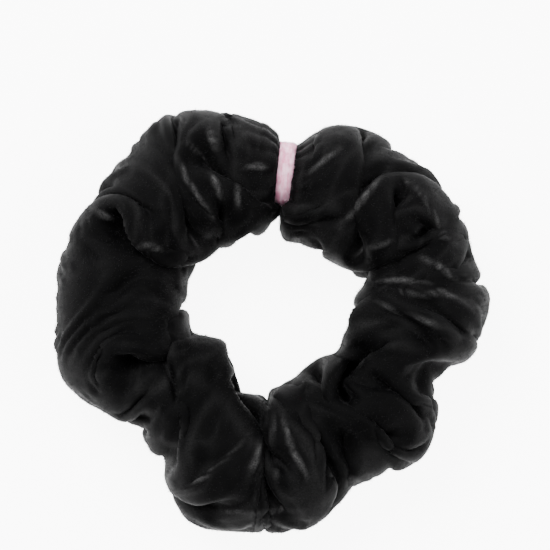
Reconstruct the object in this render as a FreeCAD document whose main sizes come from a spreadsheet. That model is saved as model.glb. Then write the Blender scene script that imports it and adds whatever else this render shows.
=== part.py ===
"""Velvet scrunchie with a ribbon tie: a gathered fabric tube round a lapped loop of flat elastic.

The scrunchie lies flat: the ring is in the XY plane, +Z is up, and the origin is on the surface it
lies on, under the middle of its outline.  The tie pinches the tube into a neck on the +Y side.
Lengths are in millimetres and angles in degrees, counted from +X towards +Y.
"""
import FreeCAD, Part
import math
import os

from FreeCAD import Rotation, Vector

# Driving dimensions: alias, value, meaning.
DIMENSIONS = [
    ("ring_x", 0.0, "middle of the elastic loop, in X"),
    ("ring_y", 3.94, "middle of the elastic loop, in Y"),
    ("core_height", 14.2, "height of the loop above the surface"),
    ("wall", 1.6, "velvet, gathered: pile, backing and the folds behind them"),
    ("neck_reach", 33.2, "ring's middle to the neck's middle"),
    ("neck_radius", 6.6, "velvet under the tie, squeezed round"),
    ("tie_width", 4.0, "ribbon's width"),
    ("tie_thick", 1.1, "ribbon's thickness, pile and all"),
    ("tie_gap", 0.1, "running clearance between neck and tie"),
    ("tie_lap", 60.0, "angle over which the ribbon's two ends overlap"),
    ("tie_step", 60.0, "angle over which its outer end steps outwards"),
    ("seat_depth", 6.0, "how far the tie's seat is cleared outwards"),
    ("elastic_radius", 29.5, "middle line of the flat elastic"),
    ("elastic_width", 5.0, "flat elastic, across"),
    ("elastic_thick", 0.9, "flat elastic, through"),
    ("elastic_lap", 24.0, "angle over which the elastic's two ends overlap"),
    ("elastic_step", 28.0, "angle over which its outer end steps outwards"),
    ("lap_gap", 0.05, "air between two lapped layers"),
    ("rubber_count", 6, "rubber threads in the elastic"),
    ("rubber_dia", 0.42, "one rubber thread"),
    ("rubber_pitch", 0.76, "from one rubber thread to the next"),
    ("thread_dia", 0.3, "sewing thread"),
    ("fin_radius", 38.0, "middle of the seam allowance inside the tube"),
    ("fin_thick", 2.0, "two raw edges of velvet, face to face"),
    ("fin_height", 5.2, "top of the seam allowance"),
    ("fin_break", 44.0, "angle left free of seam allowance at the neck"),
    ("seam_stitches", 40, "stitches of the long seam that are modelled"),
    ("seam_stitch", 3.2, "length of one of them"),
    ("seam_height", 3.6, "height of the long seam's stitches"),
    ("closing_stitches", 12, "stitches of the seam that closes the ring"),
    ("closing_stitch", 1.9, "length of one of them"),
]

# Sections of the gathered tube, once round the ring: name, angle, inner reach and outer reach from
# the ring's middle, and half height.  A fold of velvet stands out at each name without "dip".
STATIONS = [
    ("neck", 85.3, 26.1, 40.3, 6.9),
    ("left_shoulder", 93.5, 22.8, 45.6, 10.6),
    ("crown_left_near", 104, 19.6, 49.2, 13.2),
    ("crown_left", 120, 17.6, 54.3, 14.8),
    ("dip_crown", 131, 20.2, 52.8, 13.8),
    ("upper_left", 143, 20.6, 52.2, 14.6),
    ("dip_left", 156, 22.6, 53.2, 13.4),
    ("left_high", 172, 22.4, 54.2, 14.6),
    ("left_mid", 188, 21.8, 54.8, 14.7),
    ("left_low", 201, 21.0, 55.4, 14.3),
    ("dip_lower_left", 212, 15.4, 49.2, 13.0),
    ("lower_left", 223, 15.0, 46.9, 14.8),
    ("dip_bottom_left", 235, 16.8, 49.4, 13.6),
    ("bottom_left", 245, 19.4, 57.2, 13.8),
    ("bottom_mid_left", 258, 23.0, 56.8, 14.3),
    ("bottom_mid_right", 272, 20.6, 56.2, 14.6),
    ("bottom_right", 284, 20.4, 54.4, 13.8),
    ("dip_bottom_right", 293, 19.2, 49.2, 13.0),
    ("lower_right", 308, 17.0, 52.2, 14.8),
    ("dip_low_right", 321, 19.8, 51.0, 13.6),
    ("small_right", 333, 20.0, 46.9, 13.2),
    ("right_low", 348, 16.2, 52.2, 14.8),
    ("right_mid", 0, 17.2, 54.2, 14.5),
    ("dip_right", 13, 22.4, 51.0, 12.8),
    ("right_high", 28, 20.6, 52.2, 14.5),
    ("upper_right", 48, 17.9, 50.2, 14.9),
    ("crown_right", 66, 17.8, 48.6, 14.3),
    ("right_shoulder", 77, 19.8, 43.6, 10.6),
]
STATION_VALUES = ("angle", "inner", "outer", "half")
SECTION_POINTS = 12  # control points round one section
SURFACE_DEGREE = 3
FULL_TURN = 360.0
VOLUME_TOLERANCE = 0.02  # of the cover's volume

LAP_MARGIN = 3.0  # angle from the end of a strip's step to the layer under its lap
SECOND_ARC_SHARE = 0.6  # radius of the step's second arc, as a share of the loop's

STITCH_LIFT = 0.1  # a stitch's middle line above the cloth, as a share of the thread
ZIGZAG_STROKES = 6  # in one row
ZIGZAG_PLACE = 0.25  # a row's distance from the lap's middle, as a share of the lap
ZIGZAG_REACH = 1 / 12  # a stroke's reach to each side, as a share of the lap
ZIGZAG_MARGIN = 4  # cloth left unsewn across a strip, in threads
GROUND_SIZE = 4  # side of the ground block, as a share of the tube's largest reach


def make_sheet(doc):
    """The spreadsheet of driving dimensions, one alias a row."""
    sheet = doc.addObject("Spreadsheet::Sheet", "Sheet")
    rows = list(DIMENSIONS)
    for name, *numbers in STATIONS:
        for what, number in zip(STATION_VALUES, numbers):
            rows.append((f"{name}_{what}", number, f"{what} of section {name}"))
    for row, (alias, value, meaning) in enumerate(rows, start=1):
        sheet.set(f"A{row}", meaning)
        sheet.set(f"B{row}", str(value))
        sheet.setAlias(f"B{row}", alias)
    doc.recompute()
    return sheet


def polar(radius, angle, height=0.0):
    """The point at that radius and angle."""
    turn = math.radians(angle)
    return Vector(radius * math.cos(turn), radius * math.sin(turn), height)


def at_neck(thing, sheet):
    """Stands a thing that was made about +Z at the neck, with its axis along the tube.

    What was on its +X side points down.
    """
    lean = Rotation(Vector(0, 0, 1), sheet.get("neck_angle") - 90)
    thing.Placement.Rotation = lean * Rotation(Vector(0, 1, 0), 90)
    turn = "Sheet.neck_angle"
    thing.setExpression("Placement.Base.x", f"Sheet.ring_x + Sheet.neck_reach * cos({turn})")
    thing.setExpression("Placement.Base.y", f"Sheet.ring_y + Sheet.neck_reach * sin({turn})")
    thing.setExpression("Placement.Base.z", "Sheet.core_height")


# ---------------------------------------------------------------- velvet tube


def section_points(sheet, name, offset):
    """Control points of an upright ellipse across the tube at one station, drawn in by offset."""
    angle, inner, outer, half = (sheet.get(f"{name}_{what}") for what in STATION_VALUES)
    # A ring of control points on a circle makes a smaller curve, by this share.
    share = (2 + math.cos(2 * math.pi / SECTION_POINTS)) / 3
    across = ((outer - inner) / 2 - offset) / share
    upright = (half - offset) / share
    points = []
    for index in range(SECTION_POINTS):
        turn = 2 * math.pi * index / SECTION_POINTS
        reach = (inner + outer) / 2 + across * math.cos(turn)
        points.append(polar(reach, angle, upright * math.sin(turn)))
    return points


def tube(doc, sheet, name, offset):
    """A smooth closed tube through every station, drawn in by offset.

    One surface, periodic both ways, because a closed Part::Loft of the same sections does not
    compute.
    """
    angles = [sheet.get(f"{station[0]}_angle") for station in STATIONS]
    knots = [angle + FULL_TURN * (angle < angles[0]) for angle in angles] + [angles[0] + FULL_TURN]
    sections = [section_points(sheet, station[0], offset) for station in STATIONS]
    rows = []
    for index in range(SECTION_POINTS):
        curve = Part.BSplineCurve()
        curve.interpolate(
            Points=[section[index] for section in sections], PeriodicFlag=True, Parameters=knots
        )
        rows.append(curve.getPoles())
    surface = Part.BSplineSurface()
    surface.buildFromPolesMultsKnots(
        [list(ring) for ring in zip(*rows)],
        curve.getMultiplicities(),
        [1] * (SECTION_POINTS + 1),
        knots,
        list(range(SECTION_POINTS + 1)),
        True,
        True,
        SURFACE_DEGREE,
        SURFACE_DEGREE,
    )
    solid = Part.Solid(Part.Shell([surface.toShape()]))
    if solid.Volume < 0:
        solid.reverse()
    made = doc.addObject("Part::Feature", name)
    made.Shape = solid
    for side, alias in (("x", "ring_x"), ("y", "ring_y"), ("z", "core_height")):
        made.setExpression(f"Placement.Base.{side}", f"Sheet.{alias}")
    return made


def boolean(doc, kind, name, base, tool):
    """A Part::Cut, Part::Fuse or Part::Common of two objects."""
    made = doc.addObject(kind, name)
    made.Base = base
    made.Tool = tool
    return made


def ring_wall(doc, name, outer, inner, height, turn):
    """A round wall about the ring's axis, standing on the surface, over part of a turn."""
    walls = []
    for side, radius in (("outside", outer), ("inside", inner)):
        cylinder = doc.addObject("Part::Cylinder", f"{name}_{side}")
        cylinder.setExpression("Radius", radius)
        cylinder.setExpression("Height", height)
        cylinder.setExpression("Angle", turn)
        walls.append(cylinder)
    return boolean(doc, "Part::Cut", name, *walls)


def seam_allowance(doc, sheet):
    """The strip's two raw edges, turned inside the tube and standing along its bottom."""
    fin = ring_wall(
        doc,
        "seam_allowance",
        "Sheet.fin_radius + Sheet.fin_thick / 2",
        "Sheet.fin_radius - Sheet.fin_thick / 2",
        "Sheet.fin_height",
        "360 - Sheet.fin_break",
    )
    start = sheet.get("neck_angle") + sheet.get("fin_break") / 2
    fin.Placement.Rotation = Rotation(Vector(0, 0, 1), start)
    fin.setExpression("Placement.Base.x", "Sheet.ring_x")
    fin.setExpression("Placement.Base.y", "Sheet.ring_y")
    return fin


def tie_seat(doc, sheet):
    """The ring of space that the tie squeezes out of the tube."""
    cylinders = []
    for side, radius in (
        ("clear", "Sheet.neck_radius + Sheet.seat_depth"),
        ("neck", "Sheet.neck_radius"),
    ):
        cylinder = doc.addObject("Part::Cylinder", f"seat_{side}")
        cylinder.setExpression("Radius", radius)
        cylinder.setExpression("Height", "Sheet.tie_width + 2 * Sheet.tie_gap")
        cylinder.setExpression("Placement.Base.z", "-Sheet.tie_width / 2 - Sheet.tie_gap")
        cylinders.append(cylinder)
    seat = boolean(doc, "Part::Cut", "tie_seat", *cylinders)
    at_neck(seat, sheet)
    return seat


def velvet_cover(doc, sheet):
    """The gathered tube: hollow, pinched at the tie and flat where its folds lie on the surface."""
    outside = tube(doc, sheet, "outside", 0.0)
    hollow = tube(doc, sheet, "hollow", sheet.get("wall"))
    ground = doc.addObject("Part::Box", "ground")
    for side, corner in (("Length", "x"), ("Width", "y")):
        ground.setExpression(side, f"{GROUND_SIZE} * Sheet.bottom_left_outer")
        middle = f"-{GROUND_SIZE} / 2 * Sheet.bottom_left_outer"
        ground.setExpression(f"Placement.Base.{corner}", middle)
    ground.setExpression("Height", "Sheet.core_height")
    ground.setExpression("Placement.Base.z", "-Sheet.core_height")
    grounded = boolean(doc, "Part::Cut", "grounded", outside, ground)
    pinched = boolean(doc, "Part::Cut", "pinched", grounded, tie_seat(doc, sheet))
    # The seam allowance stays because the hollow goes round it.
    inside = boolean(doc, "Part::Cut", "inside", hollow, seam_allowance(doc, sheet))
    cover = boolean(doc, "Part::Cut", "cover", pinched, inside)
    cover.Label = "velvet_cover"
    return cover


# ------------------------------------------------------------- lapped strips


def lapped_arcs(radius, thick, gap, lap, step_turn):
    """The middle line of a strip bent into a loop whose end laps over its start.

    Four tangent arcs, counterclockwise: the loop, two that step outwards, and the lapped end.
    Each is (centre, radius, start angle, end angle).
    """
    step = thick + gap
    step_end = FULL_TURN - lap / 2 - LAP_MARGIN
    step_start = step_end - step_turn
    second = SECOND_ARC_SHARE * radius
    near = radius - second
    far = near + step
    back = (near**2 - far**2) / (2 * (near - far * math.cos(math.radians(step_turn))))
    first_centre = polar(back, step_start)
    second_centre = polar(far, step_end)
    across = second_centre - first_centre
    meet = math.degrees(math.atan2(across.y, across.x)) % FULL_TURN
    return [
        (Vector(), radius, -lap / 2, step_start),
        (first_centre, radius - back, step_start, meet),
        (second_centre, second, meet, step_end),
        (Vector(), radius + step, step_end, FULL_TURN + lap / 2),
    ]


def arc_edges(arcs):
    """Those arcs as edges."""
    edges = []
    for centre, radius, start, end in arcs:
        points = [centre + polar(radius, angle) for angle in (start, (start + end) / 2, end)]
        edges.append(Part.Arc(*points).toShape())
    return edges


def strip_sketch(body, arcs, thick):
    """The strip seen edge on: both faces of every arc, closed by its two cut ends."""
    sketch = body.newObject("Sketcher::SketchObject", body.Name + "_outline")
    plane = next(f for f in body.Origin.OriginFeatures if f.Role == "XY_Plane")
    sketch.AttachmentSupport = [(plane, "")]
    sketch.MapMode = "FlatFace"
    for offset in (-thick / 2, thick / 2):
        for centre, radius, start, end in arcs:
            circle = Part.Circle(centre, Vector(0, 0, 1), radius + offset)
            arc = Part.ArcOfCircle(circle, math.radians(start), math.radians(end))
            sketch.addGeometry(arc, False)
    for centre, radius, angle in (
        (arcs[0][0], arcs[0][1], arcs[0][2]),
        (arcs[-1][0], arcs[-1][1], arcs[-1][3]),
    ):
        ends = [centre + polar(radius + offset, angle) for offset in (-thick / 2, thick / 2)]
        sketch.addGeometry(Part.LineSegment(*ends), False)
    return sketch


def strip(doc, name, arcs, thick, width_alias):
    """A lapped strip of cloth: a pad of its outline, half its width each way."""
    body = doc.addObject("PartDesign::Body", name)
    sketch = strip_sketch(body, arcs, thick)
    pad = body.newObject("PartDesign::Pad", name + "_pad")
    pad.Profile = sketch
    pad.setExpression("Length", f"Sheet.{width_alias}")
    pad.Midplane = True
    body.Tip = pad
    return body


def zigzag(radius, angle, reach, width, thread_dia):
    """One row of zigzag across a strip, on its outer face, as one thread with round corners."""
    points = []
    for stroke in range(ZIGZAG_STROKES + 1):
        share = stroke / ZIGZAG_STROKES
        side = 1 if stroke % 2 else -1
        points.append(polar(radius, angle + side * reach, width * (share - 0.5)))
    solids = []
    for start, end in zip(points, points[1:]):
        along = end - start
        solids.append(Part.makeCylinder(thread_dia / 2, along.Length, start, along))
    for point in points:
        solids.append(Part.makeSphere(thread_dia / 2, point))
    return solids[0].fuse(solids[1:]).removeSplitter()


def join_thread(doc, name, radius, lap, width, thread_dia):
    """Two rows of zigzag that sew a lapped strip to itself."""
    rows = []
    for side in (-1, 1):
        place, reach = side * ZIGZAG_PLACE * lap, ZIGZAG_REACH * lap
        rows.append(zigzag(radius, place, reach, width, thread_dia))
    made = doc.addObject("Part::Feature", name)
    made.Shape = Part.makeCompound(rows)
    return made


# ------------------------------------------------------------------- elastic


def elastic(doc, sheet):
    """Flat elastic: a woven sheath, the rubber threads in it, and the stitches of its lap."""
    radius, thick = sheet.get("elastic_radius"), sheet.get("elastic_thick")
    width, lap = sheet.get("elastic_width"), sheet.get("elastic_lap")
    thread_dia, rubber_dia = sheet.get("thread_dia"), sheet.get("rubber_dia")
    count, pitch = int(sheet.get("rubber_count")), sheet.get("rubber_pitch")
    arcs = lapped_arcs(radius, thick, sheet.get("lap_gap"), lap, sheet.get("elastic_step"))

    cores = []
    for index in range(count):
        rise = Vector(0, 0, (index - (count - 1) / 2) * pitch)
        path = Part.Wire(arc_edges(arcs))
        path.translate(rise)
        start_angle = arcs[0][2]
        start = polar(radius, start_angle) + rise
        circle = Part.Wire(Part.makeCircle(rubber_dia / 2, start, polar(1, start_angle + 90)))
        cores.append(path.makePipeShell([circle], True, False))
    rubber = doc.addObject("Part::Feature", "elastic_rubber_cores")
    rubber.Shape = Part.makeCompound(cores)

    braid = strip(doc, "elastic_braid", arcs, thick, "elastic_width")
    sheath = boolean(doc, "Part::Cut", "elastic_sheath", braid, rubber)

    outer_face = radius + 1.5 * thick + sheet.get("lap_gap") + STITCH_LIFT * thread_dia
    sewn_width = width - ZIGZAG_MARGIN * thread_dia
    thread = join_thread(doc, "elastic_join_thread", outer_face, lap, sewn_width, thread_dia)

    for piece in (rubber, braid, thread):
        piece.setExpression("Placement.Base.x", "Sheet.ring_x")
        piece.setExpression("Placement.Base.y", "Sheet.ring_y")
        piece.setExpression("Placement.Base.z", "Sheet.core_height")
    return [sheath, rubber, thread]


# ----------------------------------------------------------------------- tie


def tie(doc, sheet):
    """The ribbon round the neck and the stitches of its lap, which hangs underneath."""
    thick, width, lap = sheet.get("tie_thick"), sheet.get("tie_width"), sheet.get("tie_lap")
    thread_dia = sheet.get("thread_dia")
    radius = sheet.get("neck_radius") + sheet.get("tie_gap") + thick / 2
    arcs = lapped_arcs(radius, thick, sheet.get("lap_gap"), lap, sheet.get("tie_step"))
    ribbon = strip(doc, "tie_ribbon", arcs, thick, "tie_width")
    outer_face = radius + 1.5 * thick + sheet.get("lap_gap") + STITCH_LIFT * thread_dia
    sewn_width = width - ZIGZAG_MARGIN * thread_dia
    thread = join_thread(doc, "tie_join_thread", outer_face, lap, sewn_width, thread_dia)
    for piece in (ribbon, thread):
        at_neck(piece, sheet)
    return [ribbon, thread]


# --------------------------------------------------------------- seam threads


def stitch(middle, along, length, thread_dia):
    """One short straight stitch with round ends."""
    along.normalize()
    start = middle - along * (length / 2)
    end = middle + along * (length / 2)
    barrel = Part.makeCylinder(thread_dia / 2, length, start, along)
    ends = [Part.makeSphere(thread_dia / 2, point) for point in (start, end)]
    return barrel.fuse(ends).removeSplitter()


def long_seam_thread(doc, sheet):
    """Stitches along the seam allowance, on its two faces in turn."""
    count, length = int(sheet.get("seam_stitches")), sheet.get("seam_stitch")
    free = sheet.get("fin_break")
    pitch = (FULL_TURN - free) / count
    solids = []
    for index in range(count):
        angle = sheet.get("neck_angle") + free / 2 + (index + 0.5) * pitch
        side = 1 if index % 2 else -1
        radius = sheet.get("fin_radius") + side * sheet.get("fin_thick") / 2
        middle = polar(radius, angle, sheet.get("seam_height"))
        solids.append(stitch(middle, polar(1, angle + 90), length, sheet.get("thread_dia")))
    thread = doc.addObject("Part::Feature", "long_seam_thread")
    thread.Shape = Part.makeCompound(solids)
    thread.setExpression("Placement.Base.x", "Sheet.ring_x")
    thread.setExpression("Placement.Base.y", "Sheet.ring_y")
    return thread


def closing_seam_thread(doc, sheet):
    """Stitches round the neck, in the velvet under the tie, where the tube's two ends meet."""
    count, length = int(sheet.get("closing_stitches")), sheet.get("closing_stitch")
    hollow_radius = (sheet.get("neck_outer") - sheet.get("neck_inner")) / 2 - sheet.get("wall")
    radius = (sheet.get("neck_radius") + hollow_radius) / 2
    solids = []
    for index in range(count):
        angle = FULL_TURN * index / count
        solids.append(
            stitch(polar(radius, angle), polar(1, angle + 90), length, sheet.get("thread_dia"))
        )
    thread = doc.addObject("Part::Feature", "closing_seam_thread")
    thread.Shape = Part.makeCompound(solids)
    at_neck(thread, sheet)
    return thread


# --------------------------------------------------------------------- export


def check(doc, pieces):
    """Stops the macro if any object failed or any piece is not a sound solid."""
    for thing in doc.Objects:
        if "Invalid" in thing.State or "Error" in thing.State:
            raise RuntimeError(f"{thing.Name} failed: {thing.State}")
    for piece in pieces:
        shape = piece.Shape
        if shape.isNull() or not shape.isValid() or not shape.Solids:
            raise RuntimeError(f"{piece.Label} is not a valid solid")
    cover = next(piece for piece in pieces if piece.Label == "velvet_cover")
    expected = cover.Base.Shape.Volume - cover.Tool.Shape.Volume
    if abs(cover.Shape.Volume - expected) > VOLUME_TOLERANCE * expected:
        raise RuntimeError(f"the cover's hollow was not cut: {cover.Shape.Volume} {expected}")


def main():
    doc = FreeCAD.newDocument("Scrunchie")
    sheet = make_sheet(doc)
    pieces = [
        velvet_cover(doc, sheet),
        long_seam_thread(doc, sheet),
        closing_seam_thread(doc, sheet),
        *elastic(doc, sheet),
        *tie(doc, sheet),
    ]
    doc.recompute()
    check(doc, pieces)
    os.makedirs("parts", exist_ok=True)
    for piece in pieces:
        piece.Shape.exportStep(f"parts/{piece.Label}.step")
        box = piece.Shape.optimalBoundingBox()
        print(
            f"{piece.Label}: {len(piece.Shape.Solids)} solids, {piece.Shape.Volume:.1f} mm3,"
            f" X {box.XMin:.2f}..{box.XMax:.2f} Y {box.YMin:.2f}..{box.YMax:.2f}"
            f" Z {box.ZMin:.2f}..{box.ZMax:.2f}"
        )


main()
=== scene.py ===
"""The scrunchie's look: gathered crushed velvet round its elastic, pinched by a plush ribbon tie.

The cloth is simulated here: a tube of velvet longer than the ring it is gathered on.  Ring angles
are in degrees from +X towards +Y, and "across" runs from -1 at the ring's hole to 1 at its rim.
Lengths of the simulation are in millimetres; Blender's own are in metres.
"""
import math

import bpy
import numpy as np
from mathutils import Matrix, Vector, noise
from mathutils.bvhtree import BVHTree

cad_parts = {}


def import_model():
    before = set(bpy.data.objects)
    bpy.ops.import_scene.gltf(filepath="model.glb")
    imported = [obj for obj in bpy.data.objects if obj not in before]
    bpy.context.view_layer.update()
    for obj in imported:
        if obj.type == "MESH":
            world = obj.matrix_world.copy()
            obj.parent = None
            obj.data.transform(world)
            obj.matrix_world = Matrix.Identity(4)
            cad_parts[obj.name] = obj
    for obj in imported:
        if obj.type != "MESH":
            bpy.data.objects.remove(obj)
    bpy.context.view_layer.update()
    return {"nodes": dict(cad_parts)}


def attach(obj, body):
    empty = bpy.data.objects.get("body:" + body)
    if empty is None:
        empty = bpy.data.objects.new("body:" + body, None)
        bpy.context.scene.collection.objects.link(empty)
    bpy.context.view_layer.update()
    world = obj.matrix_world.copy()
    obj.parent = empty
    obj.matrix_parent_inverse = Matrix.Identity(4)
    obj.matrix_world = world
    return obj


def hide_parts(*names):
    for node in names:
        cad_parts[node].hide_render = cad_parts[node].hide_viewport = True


MM = 0.001
SEED = 3

# The ring and its neck, as in the CAD model.
RING_MIDDLE = (0.0, 3.94)
CORE_HEIGHT = 14.2
NECK_ANGLE = 85.3
NECK_REACH = 33.2
NECK_CLOTH_RADIUS = 6.05
TIE_WIDTH = 4.0
TIE_RADIUS = 7.25
TIE_THICKNESS = 1.1
TIE_LAP = 60
TIE_STEP = 60
TIE_STEP_END = 327
LAP_RISE = 1.15
ELASTIC_REACH = 30.0
ELASTIC_ROOM = (2.4, 4.6)

# The cloth.
ROWS = 288
COLUMNS = 64
FLAT_LENGTH = 420.0
FLAT_ROUND = 98.0
HOLE_SIDE_LENGTH = 0.8
PILE_THICKNESS = 1.2
FINE_ROWS = 480
FINE_COLUMNS = 104
SEAM_TURN = 1.5 * np.pi

# The simulation.
STEPS = 70
GROWING_STEPS = 45
ROUNDS = 6
KEPT_SPEED = 0.9
TOP_SPEED = 1.0
TOUCH = 1.3
FOLD_REACH = 1.6
NEIGHBOURS = 3
ANGLE_STEPS = 1081
CREASE_STEPS = 24
WAVES = range(11, 30)
WAVER = 0.3
FLOOR_CLEARANCE = 0.6

# Each step draws the cloth in on the puffs and, by CREASE_SHARE, out at the creases.
DRAW = 0.08
CREASE_SHARE = 2.0

# How fast the cloth gives way to each thing that holds it, as a share of the way each round.
SLANT_STIFFNESS = 0.35
APART_STIFFNESS = 0.25
OUTSIDE_STIFFNESS = 0.6
CORE_STIFFNESS = 0.5
CENTRING = 0.02
NECK_STIFFNESS = 0.3

# How far out and how big the cloth is, as shares of the CAD tube and of its own flat size.
PUFF_DEPTH = 0.96
TUCK_DEPTH = 0.45
START_SIZE = 0.95
EASE = 1.04
ROUND_EASE = 0.98

# Resistance to bending: points apart, stiffness, and least shares of the way along and round.
BENDS = [(4, 0.5, 0.96, 0.97), (9, 0.2, 0.86, 0.9)]

# The cloth at the neck: what is tied, what is held there, and its way round at some places.
TIE_MARGIN = 0.6
TIED_SHARE = 0.9
NECK_HELD = 12
NECK_FADE = 5
NECK_PLACES = (0, 2.5, 12)
NECK_ROUNDS = (43, 48, FLAT_ROUND)
TIE_REACH = 16
BELOW_TIE = (-9.3, -7.8)
BELOW_TIE_ROOM = 0.7

# Past the tie's inner end the two lobes meet.
CLOSE_FROM = 7.5
CLOSE_RAMP = 1.2
CLOSE_SHARE = 0.9
CLOSE_REACH = 6.0

# Creases between the lobes: points as (ring angle, across), then depth and width.
CREASES = [
    ([(123, 0.9), (124, 0.35), (124, -0.25), (128, -0.9)], 3.0, 2.2),
    ([(113, 0.75), (110, 0.0), (110, -0.7)], 2.5, 2.0),
    ([(150, 1.0), (150, 0.3), (145, -0.4)], 3.0, 2.2),
    ([(168, 0.45), (157, -0.1), (152, -1.0)], 3.5, 2.4),
    ([(217, 1.0), (209, 0.1), (199, -1.0)], 6.0, 2.8),
    ([(234, 1.0), (243, 0.75), (252, 0.0), (263, -0.9)], 5.0, 2.6),
    ([(256, 0.5), (259, -0.3), (266, -1.0)], 3.0, 2.0),
    ([(270, 0.4), (269, -0.3), (272, -1.0)], 2.5, 1.8),
    ([(286, 0.8), (279, -0.2), (275, -1.0)], 4.5, 2.4),
    ([(291, 1.0), (300, 0.25), (311, -0.6)], 3.5, 2.2),
    ([(307, 1.0), (313, 0.4), (316, -1.0)], 5.0, 2.6),
    ([(334, 1.0), (335, 0.1), (332, -1.0)], 5.0, 2.6),
    ([(350, 1.0), (353, 0.25), (363, -0.8)], 3.5, 2.2),
    ([(362, 1.0), (366, 0.2), (373, -1.0)], 4.0, 2.2),
    ([(379, 1.0), (381, 0.2), (387, -1.0)], 4.5, 2.4),
    ([(387, 0.95), (396, 0.7), (407, 0.55)], 2.5, 2.0),
    ([(412, 0.8), (409, 0.1), (406, -0.9)], 3.0, 2.2),
]

# Sharp raised creases in the pile of the upper side, also painted paler along their lines as a
# highlight: points as (ring angle, across).
RIDGES = [
    [(78, 0.75), (73, 0.83), (67, 0.82)],
    [(75, 0.1), (71, 0.35), (66, 0.62)],
    [(50, 0.7), (50, 0.3), (50, -0.2), (49, -0.6)],
    [(47, 0.7), (42, 0.65), (31, 0.57), (22, 0.6), (15, 0.87)],
    [(33, -0.8), (32, -0.45), (29, -0.2)],
    [(19, 0.1), (13, 0.4), (7, 0.6)],
    [(14, -0.85), (12, -0.35), (8, 0.2)],
    [(10, -0.7), (5, -0.1), (5, 0.3), (1, 0.6), (-2, 0.75)],
    [(4, -0.7), (-2, -0.25), (-5, 0.1), (-8, 0.5)],
    [(122, 0.6), (124, 0.13), (124, -0.37), (125, -0.6)],
    [(118, 0.6), (116, 0.3), (115, -0.17), (117, -0.5)],
    [(110, 0.75), (110, 0.37)],
    [(105, 0.76), (99, 0.77)],
    [(103, 0.05), (97, 0.05), (93, 0.0)],
    [(107, -0.2), (110, -0.55)],
    [(152, 0.8), (151, 0.5)],
    [(158, 0.0), (154, -0.2), (153, -0.35), (153, -0.6), (154, -0.9)],
    [(140, -0.55), (144, -0.85)],
    [(236, 0.95), (243, 0.73), (251, 0.1), (260, -0.5)],
    [(265, -0.9), (264, -0.2), (261, 0.3)],
    [(270, -0.8), (270, -0.1), (271, 0.3)],
    [(274, -0.75), (277, -0.25), (282, 0.37)],
    [(250, 0.75), (265, 0.68), (281, 0.64)],
    [(292, 0.8), (297, 0.9)],
]

# Pleats, wrinkles and raised creases.
OFF_TIE_FROM = 2.4
OFF_TIE_RAMP = 1.6
PLEATS = 17
PLEAT_HEIGHT = 0.5
PLEAT_LENGTH = 9
SHOWN_FROM = 0.45
SHOWN_RAMP = 0.25
RIDGE_WIDTH = 0.6
RIDGE_HEIGHT = 0.7
WRINKLE_HEIGHT = 0.15
# The share of the painted highlight that the wrinkles get beside the raised creases.
WRINKLE_SHEEN = 0.1
WIDE_SIZE = (11, 24)
WIDE_LINE = 0.09
NARROW_SIZE = (4.5, 10)
NARROW_LINE = 0.12
NARROW_SHARE = 0.6
WRINKLED_PATCH = 30
FLOOR_GAP = 0.02

# The long seam.  Its section is (rise from the cloth, side) of each corner.
SEAM_DEPTH = 0.5
SEAM_WIDTH = 1.2
PUCKER = 0.35
SEAM_BREAK = 16
SEAM_HALF = 0.7
SEAM_ROOM = 9
SEAM_SECTION = ((0.3, -1), (1.7, -1), (2.2, -0.5), (2.2, 0.5), (1.7, 1), (0.3, 1))
STITCH_LENGTH = 2.6
STITCH_PITCH = 4.2
STITCH_POINTS = 7
STITCH_RISE = 1.1
THREAD_RADIUS = 0.15
THREAD_SIDES = 8

# The velvet's pile.
PILE_FIBRES = 49000
PILE_WIDTH = 0.1
PILE_LENGTHS = (0.5, 1.0)
PILE_LEAN = 0.4
PILE_SPREAD = 0.35
PILE_ROOT = 0.1
PILE_REACH = 1.5
PILE_FLOOR = 0.6
BRUSH_SIZE = 24

# The ribbon and its plush.
TIE_ROWS = 260
TIE_COLUMNS = 28
TIE_END_ROWS = 4
TIE_MEAN_WIDTH = 0.95
TIE_WIDER_OUTSIDE = 0.11
TIE_ROUNDING = 0.75
TIE_LUMP_SIZE = 1.1
TIE_LUMPS = 0.3
TIE_FIBRES = 16000
TIE_FIBRE_WIDTH = 0.1
TIE_FIBRE_LENGTHS = (0.35, 0.75)
TIE_FIBRE_SPREAD = 0.5
TIE_FIBRE_ROOT = 0.05

# Camera, lights and floor: millimetres, but the lights' places and sizes are in metres.
CAMERA_HEIGHT = 900
CAMERA_PLACE = (0.4, 11.75)
FIELD_WIDTH = 137.5
SENSOR_WIDTH = 36
KEY_LIGHT = ((-0.35, 0.45, 0.7), 0.5, 16)
FILL_LIGHT = ((0.6, 0.0, 0.55), 0.6, 6)
SKY_STRENGTH = 0.7
FLOOR_SIZE = 2400
FLOOR_GLOW = 8.0


# ------------------------------------------------------------ the CAD tube


def node_tree(node):
    """A search tree of a CAD node's surface, in the row frame."""
    mesh = node.data
    corners = [node.matrix_world @ vertex.co for vertex in mesh.vertices]
    return BVHTree.FromPolygons(corners, [polygon.vertices[:] for polygon in mesh.polygons])


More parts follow.
